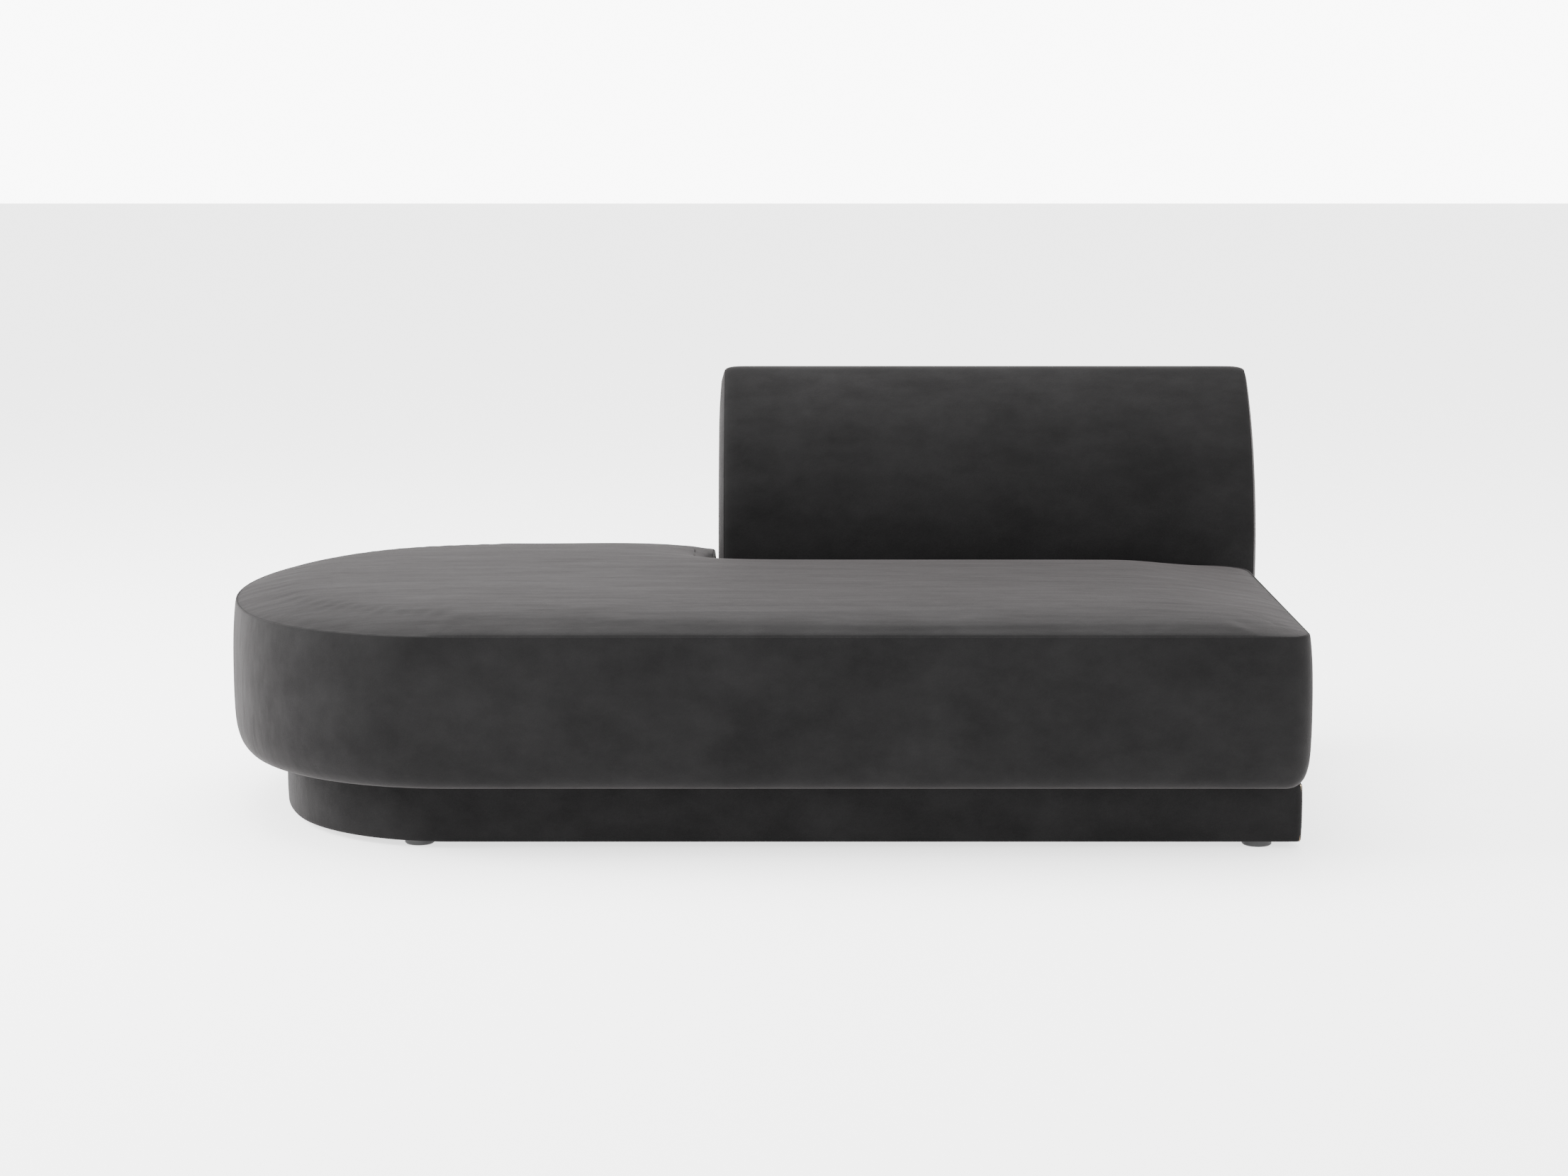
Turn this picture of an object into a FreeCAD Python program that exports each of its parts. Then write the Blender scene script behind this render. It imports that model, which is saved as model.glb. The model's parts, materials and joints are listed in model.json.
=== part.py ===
"""Round-ended daybed module: an upholstered seat on a recessed plinth, with a lift-off backrest.

Millimetres, +Z up, the front facing -Y.  The origin is the centre of the bounding box's base,
on the floor.  The driving dimensions live in the sheet "Sizes"; every sub-part is bound to it.
"""
import FreeCAD, Part
import math
import os
import Sketcher

# --------------------------------------------------------------------------- driving dimensions
SIZES = {
    # the whole object
    "overall_wide": 1894, "overall_deep": 1030, "overall_high": 740,
    # plan of the rounded end: one wide arc between two tighter ones, all tangent
    "end_radius": 700, "turn_radius": 404,
    # heights of the horizontal layers
    "plinth_low": 12, "plinth_high": 110, "seat_low": 115, "deck_level": 262, "seam_level": 378,
    "crown_high": 24,
    # plinth
    "plinth_inset": 92, "plinth_right_inset": 28, "plinth_rail_thick": 18, "plinth_top_thick": 12,
    "dust_cover_thick": 1, "block_wide": 70, "block_deep": 75, "block_shift": 22.5,
    "cross_rail_thick": 18, "cross_rail_first": -476, "cross_rail_second": -150, "cross_rail_third": 390,
    # seat
    "cover_thick": 2.5, "edge_pad_thick": 84, "seat_rail_thick": 25, "lower_roll": 40,
    "crown_roll": 20, "notch_left": -87, "notch_front": 290, "cross_rail_drop": 30,
    "seat_right_gap": 24,
    "seat_cross_first": -436, "seat_cross_second": 220, "seat_cross_third": 560,
    "bolt_row_front": -150, "bolt_row_rear": 90,
    "strap_wide": 50, "strap_thick": 2, "strap_first": -830, "strap_step": 115,
    # backrest
    "back_left": -84, "back_right": 947, "back_front": 292, "back_arc_radius": 460,
    "back_corner_radius": 30, "end_pad_thick": 12, "back_foam_thick": 50,
    "curved_board_thick": 3, "rear_board_thick": 5, "rear_board_high": 520, "rib_thick": 18,
    "back_rail_high": 60, "middle_rail_level": 400, "top_rail_level": 560, "top_rail_setback": 75,
    # tongues that hold the backrest, and their sockets in the plinth
    "tongue_wide": 40, "tongue_thick": 6, "tongue_play": 1, "tongue_drop": 60, "tongue_long": 118,
    "tongue_rear": 390, "socket_wall": 3, "socket_long": 62, "socket_flange": 22,
    "tongue_first": 131, "tongue_second": 731,
    # levelling glides
    "glide_radius": 25.5, "glide_thick": 12, "glide_bevel": 2, "stem_radius": 4, "stem_long": 40,
    "nut_radius": 11, "nut_long": 14, "stem_play": 0.1, "relief_play": 1.5,
    "glide_left": -580, "glide_right": 848, "glide_left_depth": 377, "glide_right_depth": 388,
    # fasteners
    "bolt_radius": 4, "bolt_head_radius": 7, "bolt_head_high": 5, "bolt_long": 40,
    "tongue_bolt_radius": 3, "tongue_bolt_head_radius": 5.5, "tongue_bolt_head_high": 4,
    "tongue_bolt_low": 18, "tongue_bolt_high": 42,
    "screw_radius": 2.5, "screw_head_radius": 4.5, "screw_head_high": 2.5,
}

doc = FreeCAD.newDocument("RoundDaybed")
sheet = doc.addObject("Spreadsheet::Sheet", "Sizes")
for row, (alias, number) in enumerate(SIZES.items(), start=1):
    sheet.set(f"A{row}", alias)
    sheet.set(f"B{row}", str(number))
    sheet.setAlias(f"B{row}", alias)
doc.recompute()


class Size:
    """A length that carries both its number and the expression that binds it to the sheet."""

    def __init__(self, number, text):
        self.number = float(number)
        self.text = text

    @staticmethod
    def of(thing):
        if isinstance(thing, Size):
            return thing
        return Size(thing, repr(float(thing)))

    def join(self, other, sign, number):
        return Size(number, f"({self.text} {sign} {Size.of(other).text})")

    def __add__(self, other):
        return self.join(other, "+", self.number + Size.of(other).number)

    def __sub__(self, other):
        return self.join(other, "-", self.number - Size.of(other).number)

    def __mul__(self, other):
        return self.join(other, "*", self.number * Size.of(other).number)

    def __truediv__(self, other):
        return self.join(other, "/", self.number / Size.of(other).number)

    def __neg__(self):
        return Size(-self.number, f"(0 - {self.text})")


def size(alias):
    """The size that the sheet holds under an alias."""
    return Size(SIZES[alias], f"Sizes.{alias}")


def root(inner):
    """The square root of a size that stands for a squared length."""
    return Size(math.sqrt(inner.number), f"sqrt({inner.text})")


ZERO = Size(0, "0")
UP = FreeCAD.Vector(0, 0, 1)
RIB_COUNT = 4
half_wide = size("overall_wide") / 2
half_deep = size("overall_deep") / 2
end_centre = size("end_radius") - half_wide
turn_side = half_deep - size("turn_radius")
arc_gap = size("end_radius") - size("turn_radius")
turn_centre = end_centre - root(arc_gap * arc_gap - turn_side * turn_side)
exports = {}


def keep(feature, node):
    """Marks a document object as a finished sub-part and names it."""
    feature.Label = node
    exports[node] = feature
    return feature


def bind(feature, **properties):
    for name, value in properties.items():
        feature.setExpression(name.replace("__", "."), Size.of(value).text)


def place(feature, x=ZERO, y=ZERO, z=ZERO):
    bind(feature, Placement__Base__x=x, Placement__Base__y=y, Placement__Base__z=z)


# --------------------------------------------------------------------------- primitives
def box(name, low, spans):
    """A bound box from its low corner and its three spans."""
    feature = doc.addObject("Part::Box", name)
    bind(feature, Length=spans[0], Width=spans[1], Height=spans[2])
    place(feature, *low)
    return feature


def cylinder(name, base, radius, height, rearwards=False):
    """A bound cylinder that rises along +Z, or runs along +Y where it points rearwards."""
    feature = doc.addObject("Part::Cylinder", name)
    if rearwards:
        feature.Placement.Rotation = FreeCAD.Rotation(FreeCAD.Vector(1, 0, 0), -90)
    bind(feature, Radius=radius, Height=height)
    place(feature, *base)
    return feature


def cut(name, base, tool):
    feature = doc.addObject("Part::Cut", name)
    feature.Base = base
    feature.Tool = tool
    return feature


def common(name, base, tool):
    feature = doc.addObject("Part::Common", name)
    feature.Base = base
    feature.Tool = tool
    return feature


def fuse(name, pieces):
    feature = doc.addObject("Part::MultiFuse", name)
    feature.Shapes = pieces
    feature.Refine = True
    return feature


def group(node, pieces):
    """Identical pieces that stay separate solids in one node."""
    feature = doc.addObject("Part::Compound", node)
    feature.Links = pieces
    return keep(feature, node)


# --------------------------------------------------------------------------- sketches
def plane_of(body, role):
    return next(item for item in body.Origin.OriginFeatures if item.Role == role)


def new_sketch(body, name, role):
    sketch = body.newObject("Sketcher::SketchObject", name)
    sketch.AttachmentSupport = [(plane_of(body, role), "")]
    sketch.MapMode = "FlatFace"
    return sketch


def vector(x, y):
    return FreeCAD.Vector(x, y, 0)


def drive(sketch, kind, references, value):
    """Adds a dimensional constraint and binds it to the sheet.  Distances are kept positive."""
    amount = abs(value.number)
    index = sketch.addConstraint(Sketcher.Constraint(kind, *references, amount))
    text = value.text if value.number >= 0 else f"(0 - {value.text})"
    sketch.setExpression(f"Constraints[{index}]", text)


def drive_x(sketch, element, point, value):
    """Holds a point at a signed distance from the sketch's vertical axis."""
    ends = (-1, 1, element, point) if value.number >= 0 else (element, point, -1, 1)
    drive(sketch, "DistanceX", ends, value)


def drive_y(sketch, element, point, value):
    """Holds a point at a signed distance from the sketch's horizontal axis."""
    ends = (-1, 1, element, point) if value.number >= 0 else (element, point, -1, 1)
    drive(sketch, "DistanceY", ends, value)


def plan_outline(body, name, inset, right_inset, notch=False):
    """The seat's plan, moved inwards by an inset: a rounded left end, straight front, back and
    right sides, and, where asked, the notch in the back right that the backrest stands in."""
    sketch = new_sketch(body, name, "XY_Plane")
    right = half_wide - right_inset
    side = half_deep - inset
    turn = size("turn_radius") - inset
    end = size("end_radius") - inset
    spread = math.asin(turn_side.number / arc_gap.number)
    half_turn = math.pi
    front_centre = vector(turn_centre.number, -turn_side.number)
    back_centre = vector(turn_centre.number, turn_side.number)
    corners = [vector(right.number, side.number)]
    if notch:
        notch_x = size("notch_left") - inset
        notch_y = size("notch_front") - inset
        corners = [
            vector(right.number, notch_y.number),
            vector(notch_x.number, notch_y.number),
            vector(notch_x.number, side.number),
        ]
    path = [vector(turn_centre.number, -side.number), vector(right.number, -side.number)]
    path += corners + [vector(turn_centre.number, side.number)]
    lines = [Part.LineSegment(first, last) for first, last in zip(path, path[1:])]
    circles = [
        (back_centre, turn.number, half_turn / 2, half_turn - spread),
        (vector(end_centre.number, 0), end.number, half_turn - spread, half_turn + spread),
        (front_centre, turn.number, half_turn + spread, 1.5 * half_turn),
    ]
    arcs = [Part.ArcOfCircle(Part.Circle(c, UP, r), a, b) for c, r, a, b in circles]
    sketch.addGeometry(lines + arcs)
    last_line = len(lines) - 1
    back_arc, end_arc, front_arc = range(len(lines), len(lines) + 3)
    for line in range(last_line):
        sketch.addConstraint(Sketcher.Constraint("Coincident", line, 2, line + 1, 1))
    for line in range(len(lines)):
        kind = "Horizontal" if line % 2 == 0 else "Vertical"
        sketch.addConstraint(Sketcher.Constraint(kind, line))
    joins = [
        (last_line, 2, back_arc, 1), (back_arc, 2, end_arc, 1),
        (end_arc, 2, front_arc, 1), (front_arc, 2, 0, 1),
    ]
    for references in joins:
        sketch.addConstraint(Sketcher.Constraint("Tangent", *references))
    drive(sketch, "Radius", (back_arc,), turn)
    drive(sketch, "Radius", (front_arc,), turn)
    drive(sketch, "Radius", (end_arc,), end)
    sketch.addConstraint(Sketcher.Constraint("PointOnObject", end_arc, 3, -1))
    drive_x(sketch, end_arc, 3, end_centre)
    drive_y(sketch, 0, 1, -side)
    drive_y(sketch, last_line, 2, side)
    drive_x(sketch, 0, 2, right)
    if notch:
        drive_y(sketch, 2, 1, notch_y)
        drive_x(sketch, 3, 1, notch_x)
    return sketch


def back_profile(body, name, inset, rear_inset, base):
    """The backrest's side profile in the YZ plane, moved inwards: an upright front that bends
    back in one large arc, a small corner at the top and an upright rear."""
    sketch = new_sketch(body, name, "YZ_Plane")
    front = size("back_front") + inset
    rear = half_deep - rear_inset
    radius = size("back_arc_radius")
    corner = size("back_corner_radius")
    across = radius - (half_deep - size("back_front")) + corner
    reach = radius - corner
    rise = size("overall_high") - corner - root(reach * reach - across * across)
    arc_centre = size("back_front") + radius
    bend = radius - inset
    rounded = inset.number < corner.number and inset.number == rear_inset.number
    if rounded:
        turn = math.pi - math.acos(across.number / reach.number)
        small = vector((half_deep - corner).number, (size("overall_high") - corner).number)
        corner_end = vector(rear.number, small.y)
    else:
        turn = math.pi - math.acos((arc_centre - rear).number / bend.number)
        corner_end = vector(rear.number, rise.number + bend.number * math.sin(turn))
    lines = [
        Part.LineSegment(corner_end, vector(rear.number, base.number)),
        Part.LineSegment(vector(rear.number, base.number), vector(front.number, base.number)),
        Part.LineSegment(vector(front.number, base.number), vector(front.number, rise.number)),
    ]
    big = Part.Circle(vector(arc_centre.number, rise.number), UP, bend.number)
    arcs = [Part.ArcOfCircle(big, turn, math.pi)]
    if rounded:
        tight = Part.Circle(small, UP, (corner - inset).number)
        arcs.append(Part.ArcOfCircle(tight, 0, turn))
    sketch.addGeometry(lines + arcs)
    for references in ((0, 2, 1, 1), (1, 2, 2, 1)):
        sketch.addConstraint(Sketcher.Constraint("Coincident", *references))
    for kind, line in (("Vertical", 0), ("Horizontal", 1), ("Vertical", 2)):
        sketch.addConstraint(Sketcher.Constraint(kind, line))
    sketch.addConstraint(Sketcher.Constraint("Tangent", 3, 2, 2, 2))
    drive(sketch, "Radius", (3,), bend)
    if rounded:
        sketch.addConstraint(Sketcher.Constraint("Tangent", 4, 2, 3, 1))
        sketch.addConstraint(Sketcher.Constraint("Tangent", 4, 1, 0, 1))
        drive(sketch, "Radius", (4,), corner - inset)
    else:
        sketch.addConstraint(Sketcher.Constraint("Coincident", 3, 1, 0, 1))
    drive_y(sketch, 3, 3, rise)
    drive_x(sketch, 0, 2, rear)
    drive_x(sketch, 2, 1, front)
    drive_y(sketch, 1, 2, base)
    return sketch


def pad(body, name, sketch, length):
    feature = body.newObject("PartDesign::Pad", name)
    feature.Profile = sketch
    bind(feature, Length=length)
    sketch.Visibility = False
    return feature


def hollow(body, name, sketch):
    """Cuts a sketch's outline straight through the body in the direction the body was padded."""
    before = body.Shape.Volume
    feature = body.newObject("PartDesign::Pocket", name)
    feature.Profile = sketch
    feature.Type = "ThroughAll"
    feature.Reversed = True
    doc.recompute()
    if not body.Shape.Volume < before:
        raise RuntimeError(f"{name} cuts nothing")
    return feature


def edges_at_level(shape, level):
    """The names of the edges that lie wholly in one horizontal plane."""
    names = []
    for number, edge in enumerate(shape.Edges, start=1):
        limits = edge.BoundBox
        if abs(limits.ZMin - level) < 1e-6 and abs(limits.ZMax - level) < 1e-6:
            names.append(f"Edge{number}")
    return names


def round_over(body, name, base, level, radius):
    feature = body.newObject("PartDesign::Fillet", name)
    feature.Base = (base, edges_at_level(base.Shape, level.number))
    bind(feature, Radius=radius)
    doc.recompute()
    return feature


def plan_body(name, inset, right_inset, low, height, notch=False):
    """A board or block with the seat's plan, standing on a level."""
    body = doc.addObject("PartDesign::Body", name)
    outline = plan_outline(body, f"{name}Outline", inset, right_inset, notch)
    pad(body, f"{name}Pad", outline, height)
    place(body, z=low)
    doc.recompute()
    return body


def plan_ring(name, insets, right_insets, low, height, notch=False):
    """A band that follows the seat's plan between an outer and an inner inset."""
    body = plan_body(name, insets[0], right_insets[0], low, height, notch)
    inner = plan_outline(body, f"{name}Inner", insets[1], right_insets[1], notch)
    hollow(body, f"{name}Hollow", inner)
    return body


# --------------------------------------------------------------------------- fasteners
def headed_pin(name, base, radius, length, head_radius, head_high, rearwards=False):
    """A bolt or screw: its head ends at the base point and its shank runs on from there."""
    x, y, z = base
    head_base = (x, y - head_high, z) if rearwards else (x, y, z - head_high)
    shank = cylinder(f"{name}Shank", base, radius, length, rearwards)
    head = cylinder(f"{name}Head", head_base, head_radius, head_high, rearwards)
    return fuse(name, [shank, head])


def drill(name, base, holes):
    """Takes a list of tools out of a piece."""
    return cut(name, base, fuse(f"{name}Drills", holes))


# --------------------------------------------------------------------------- plinth
cover = size("cover_thick")
plinth_frame_inset = size("plinth_inset") + cover
plinth_frame_right = size("plinth_right_inset") + cover
plinth_core_inset = plinth_frame_inset + size("plinth_rail_thick")
plinth_core_right = plinth_frame_right + size("plinth_rail_thick")
plinth_frame_low = size("plinth_low") + size("dust_cover_thick")
board_low = size("plinth_high") - size("plinth_top_thick")
plinth_frame_high = board_low - plinth_frame_low
plinth_side = half_deep - plinth_frame_inset
plinth_core_side = half_deep - plinth_core_inset
plinth_right = half_wide - plinth_frame_right
glide_places = {
    "front_left": (size("glide_left"), -size("glide_left_depth")),
    "front_right": (size("glide_right"), -size("glide_right_depth")),
    "rear_left": (size("glide_left"), size("glide_left_depth")),
    "rear_right": (size("glide_right"), size("glide_right_depth")),
}
tongue_places = {"left": size("tongue_first"), "right": size("tongue_second")}
tongue_middle = size("tongue_rear") - size("tongue_thick") / 2
slot_spans = (size("tongue_wide") + size("tongue_play") * 2,
              size("tongue_thick") + size("tongue_play") * 2)
seat_crosses = [size("seat_cross_first"), size("seat_cross_second"), size("seat_cross_third")]
bolt_rows = [size("bolt_row_front"), size("bolt_row_rear")]
frame_bolt_places = [(x + size("seat_rail_thick") / 2, y) for x in seat_crosses for y in bolt_rows]


def centred_box(name, centre, spans, low, height):
    """A box whose plan is centred on a point."""
    corner = (centre[0] - spans[0] / 2, centre[1] - spans[1] / 2, low)
    return box(name, corner, (spans[0], spans[1], height))


def build_plinth_frame():
    """Straight rails, one bent rail round the end, and cross rails."""
    thick = size("plinth_rail_thick")
    long_span = (plinth_right - turn_centre, thick, plinth_frame_high)
    front = box("PlinthFront", (turn_centre, -plinth_side, plinth_frame_low), long_span)
    keep(front, "plinth_front_rail")
    back = box("PlinthBack", (turn_centre, plinth_core_side, plinth_frame_low), long_span)
    keep(back, "plinth_back_rail")
    cross_low = -plinth_core_side
    cross_span = plinth_core_side * 2
    right = box("PlinthRight", (plinth_right - thick, cross_low, plinth_frame_low),
                (thick, cross_span, plinth_frame_high))
    keep(right, "plinth_right_rail")
    ring = plan_ring("PlinthRing", (plinth_frame_inset, plinth_core_inset),
                     (plinth_frame_right, plinth_core_right), plinth_frame_low, plinth_frame_high)
    zone = box("PlinthEndZone", (-half_wide, -half_deep, plinth_frame_low),
               (half_wide + turn_centre, half_deep * 2, plinth_frame_high))
    keep(common("PlinthBentRail", ring, zone), "plinth_round_end_rail")
    places = (size("cross_rail_first"), size("cross_rail_second"), size("cross_rail_third"))
    rails = [box(f"PlinthCross{number}", (x, cross_low, plinth_frame_low),
                 (size("cross_rail_thick"), cross_span, plinth_frame_high))
             for number, x in enumerate(places, start=1)]
    group("plinth_cross_rails", rails)


def build_corner_blocks():
    """Blocks fitted inside the rails, bored for the glides' threaded inserts."""
    core = plan_body("PlinthCore", plinth_core_inset, plinth_core_right, plinth_frame_low,
                     plinth_frame_high)
    blocks = []
    inserts = []
    for name, (x, y) in glide_places.items():
        inward = size("block_shift") if y.number < 0 else -size("block_shift")
        rough = centred_box(f"RoughBlock{name}", (x, y + inward),
                            (size("block_wide"), size("block_deep")),
                            plinth_frame_low, plinth_frame_high)
        fitted = common(f"FittedBlock{name}", rough, core)
        bore = cylinder(f"InsertBore{name}", (x, y, plinth_frame_low), size("nut_radius"),
                        size("nut_long"))
        relief = cylinder(f"StemRelief{name}", (x, y, plinth_frame_low),
                          size("stem_radius") + size("relief_play"), size("stem_long"))
        blocks.append(drill(f"Block{name}", fitted, [bore, relief]))
        barrel = cylinder(f"InsertBarrel{name}", (x, y, plinth_frame_low), size("nut_radius"),
                          size("nut_long"))
        thread = cylinder(f"InsertThread{name}", (x, y, plinth_frame_low),
                          size("stem_radius") + size("stem_play"), size("nut_long"))
        inserts.append(cut(f"Insert{name}", barrel, thread))
    group("plinth_corner_blocks", blocks)
    group("glide_threaded_inserts", inserts)


def build_plinth_skins():
    """The top board, the upholstered band round the sides and the cloth under the plinth."""
    thick = size("plinth_top_thick")
    board = plan_body("PlinthBoard", plinth_frame_inset, plinth_frame_right, board_low, thick)
    slots = [centred_box(f"BoardSlot{name}", (x, tongue_middle), slot_spans, board_low, thick)
             for name, x in tongue_places.items()]
    holes = [cylinder(f"BoardHole{number}", (x, y, board_low), size("bolt_radius"), thick)
             for number, (x, y) in enumerate(frame_bolt_places, start=1)]
    screw_holes = [cylinder(f"BoardScrewHole{name}", (x, tongue_middle, board_low),
                            size("screw_radius"), thick) for name, x in socket_screw_places()]
    keep(drill("DrilledBoard", board, slots + holes + screw_holes), "plinth_top_board")
    band = plan_ring("PlinthBand", (size("plinth_inset"), plinth_frame_inset),
                     (size("plinth_right_inset"), plinth_frame_right), size("plinth_low"),
                     size("plinth_high") - size("plinth_low"))
    keep(band, "plinth_cover")
    thin = size("dust_cover_thick")
    cloth = plan_body("DustCloth", plinth_frame_inset, plinth_frame_right, size("plinth_low"), thin)
    openings = [cylinder(f"DustHole{name}", (x, y, size("plinth_low")),
                         size("stem_radius") + size("relief_play"), thin)
                for name, (x, y) in glide_places.items()]
    keep(drill("PiercedCloth", cloth, openings), "plinth_dust_cover")


def build_glides():
    """Four round plastic feet, each on a threaded steel stem set halfway into it."""
    seated = size("glide_thick") / 2
    for name, (x, y) in glide_places.items():
        puck = cylinder(f"Puck{name}", (x, y, ZERO), size("glide_radius"), size("glide_thick"))
        doc.recompute()
        bevelled = doc.addObject("Part::Chamfer", f"BevelledPuck{name}")
        bevelled.Base = puck
        rims = [number for number, edge in enumerate(puck.Shape.Edges, start=1)
                if edge.BoundBox.ZLength < 1e-6]
        bevel = SIZES["glide_bevel"]
        bevelled.Edges = [(number, bevel, bevel) for number in rims]
        socket = cylinder(f"PuckBore{name}", (x, y, seated), size("stem_radius"), seated)
        keep(cut(f"BoredPuck{name}", bevelled, socket), f"glide_{name}")
        stem = cylinder(f"Stem{name}", (x, y, seated), size("stem_radius"), size("stem_long"))
        keep(stem, f"glide_stem_{name}")


def socket_screw_places():
    """A screw through each end of each socket's flange."""
    offset = (slot_spans[0] + size("socket_flange")) / 2 + size("socket_wall")
    sides = (("Left", -offset), ("Right", offset))
    return [(f"{name}{side}", x + step) for name, x in tongue_places.items()
            for side, step in sides]


def build_sockets():
    """Flanged steel sleeves under the top board that take the backrest's tongues."""
    wall = size("socket_wall")
    outer = (slot_spans[0] + wall * 2, slot_spans[1] + wall * 2)
    flange_spans = (outer[0] + size("socket_flange") * 2, outer[1])
    low = board_low - size("socket_long")
    flange_low = board_low - wall
    sockets = []
    for name, x in tongue_places.items():
        centre = (x, tongue_middle)
        sleeve = centred_box(f"Sleeve{name}", centre, outer, low, size("socket_long"))
        flange = centred_box(f"Flange{name}", centre, flange_spans, flange_low, wall)
        slot = centred_box(f"SleeveSlot{name}", centre, slot_spans, low, size("socket_long"))
        holes = [cylinder(f"FlangeHole{place_name}", (place_x, tongue_middle, flange_low),
                          size("screw_radius"), wall)
                 for place_name, place_x in socket_screw_places() if place_name.startswith(name)]
        body = fuse(f"FlangedSleeve{name}", [sleeve, flange])
        sockets.append(drill(f"Socket{name}", body, [slot] + holes))
    group("tongue_sockets", sockets)
    screws = [headed_pin(f"SocketScrew{name}", (x, tongue_middle, flange_low),
                         size("screw_radius"), size("plinth_top_thick"),
                         size("screw_head_radius"), size("screw_head_high"))
              for name, x in socket_screw_places()]
    group("socket_screws", screws)


# --------------------------------------------------------------------------- seat
seat_gap = size("seat_right_gap")
seat_frame_inset = cover + size("edge_pad_thick")
seat_frame_right = seat_frame_inset + seat_gap
seat_core_inset = seat_frame_inset + size("seat_rail_thick")
rail_low = size("plinth_high") + cover
rail_high = size("deck_level") - rail_low
seat_side = half_deep - seat_frame_inset
seat_core_side = half_deep - seat_core_inset
seat_right = half_wide - seat_frame_right
notch_rail_y = size("notch_front") - seat_core_inset
notch_rail_x = size("notch_left") - seat_core_inset


def build_seat_frame():
    """Boards on edge: front, back, right, the two at the notch, one bent end and cross rails."""
    thick = size("seat_rail_thick")
    front = box("SeatFront", (turn_centre, -seat_side, rail_low),
                (seat_right - turn_centre, thick, rail_high))
    keep(front, "seat_front_rail")
    back = box("SeatBack", (turn_centre, seat_core_side, rail_low),
               (notch_rail_x + thick - turn_centre, thick, rail_high))
    keep(back, "seat_back_rail")
    right = box("SeatRight", (seat_right - thick, -seat_core_side, rail_low),
                (thick, notch_rail_y + seat_core_side, rail_high))
    keep(right, "seat_right_rail")
    notch_front = box("SeatNotchFront", (notch_rail_x, notch_rail_y, rail_low),
                      (seat_right - notch_rail_x, thick, rail_high))
    keep(notch_front, "seat_notch_rail")
    notch_side = box("SeatNotchSide", (notch_rail_x, notch_rail_y + thick, rail_low),
                     (thick, seat_core_side - notch_rail_y - thick, rail_high))
    keep(notch_side, "seat_notch_side_rail")
    ring = plan_ring("SeatRing", (seat_frame_inset, seat_core_inset),
                     (seat_frame_inset, seat_core_inset), rail_low, rail_high)
    zone = box("SeatEndZone", (-half_wide, -half_deep, rail_low),
               (half_wide + turn_centre, half_deep * 2, rail_high))
    keep(common("SeatBentRail", ring, zone), "seat_round_end_rail")
    crosses = []
    for number, x in enumerate(seat_crosses, start=1):
        beyond = number == 1
        span = (seat_core_side if beyond else notch_rail_y) + seat_core_side
        board = box(f"SeatCross{number}", (x, -seat_core_side, rail_low),
                    (thick, span, rail_high - size("cross_rail_drop")))
        holes = [cylinder(f"SeatCrossHole{number}{row}", (x + thick / 2, y, rail_low),
                          size("bolt_radius"), size("bolt_long"))
                 for row, y in zip(("Front", "Rear"), bolt_rows)]
        crosses.append(drill(f"DrilledCross{number}", board, holes))
    group("seat_cross_rails", crosses)
    bolts = [headed_pin(f"FrameBolt{number}", (x, y, board_low), size("bolt_radius"),
                        size("bolt_long"), size("bolt_head_radius"), size("bolt_head_high"))
             for number, (x, y) in enumerate(frame_bolt_places, start=1)]
    group("frame_bolts", bolts)


def build_seat_straps():
    """Elastic straps across the frame, each as long as the frame is deep at its place."""
    zone = plan_body("StrapZone", seat_frame_inset, seat_frame_right, size("deck_level"),
                     size("strap_thick"), notch=True)
    wide = size("strap_wide")
    count = int((seat_right - size("strap_first") - wide).number // SIZES["strap_step"]) + 1
    straps = []
    for number in range(count):
        x = size("strap_first") + size("strap_step") * number
        blank = box(f"StrapBlank{number}", (x, -half_deep, size("deck_level")),
                    (wide, half_deep * 2, size("strap_thick")))
        straps.append(common(f"Strap{number}", blank, zone))
    group("seat_webbing_straps", straps)


def rolled_block(name, inset, low, height, edge_level, radius):
    """A notched block with the seat's plan and one horizontal rim rolled over."""
    body = plan_body(name, inset, inset + seat_gap, low, height, notch=True)
    round_over(body, f"{name}Roll", body.Tip, edge_level, radius)
    return body


def build_seat_padding():
    """The foam round the rails, the block on the straps and the crowned wadding over it."""
    skirt_low = size("seat_low") + cover
    skirt_high = size("deck_level") - skirt_low
    skirt = rolled_block("SkirtFoam", cover, skirt_low, skirt_high, ZERO,
                         size("lower_roll") - cover)
    hole = plan_body("SkirtHole", seat_frame_inset, seat_frame_right, skirt_low, skirt_high,
                     notch=True)
    keep(cut("SeatSkirt", skirt, hole), "seat_edge_padding")
    deck = size("deck_level") + size("strap_thick")
    block = plan_body("SeatBlock", cover, cover + seat_gap, deck, size("seam_level") - deck,
                      notch=True)
    keep(block, "seat_foam_block")
    crown = rolled_block("SeatCrown", cover, size("seam_level"), size("crown_high"),
                         size("crown_high"), size("crown_roll"))
    keep(crown, "seat_topper")
    return crown


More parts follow.
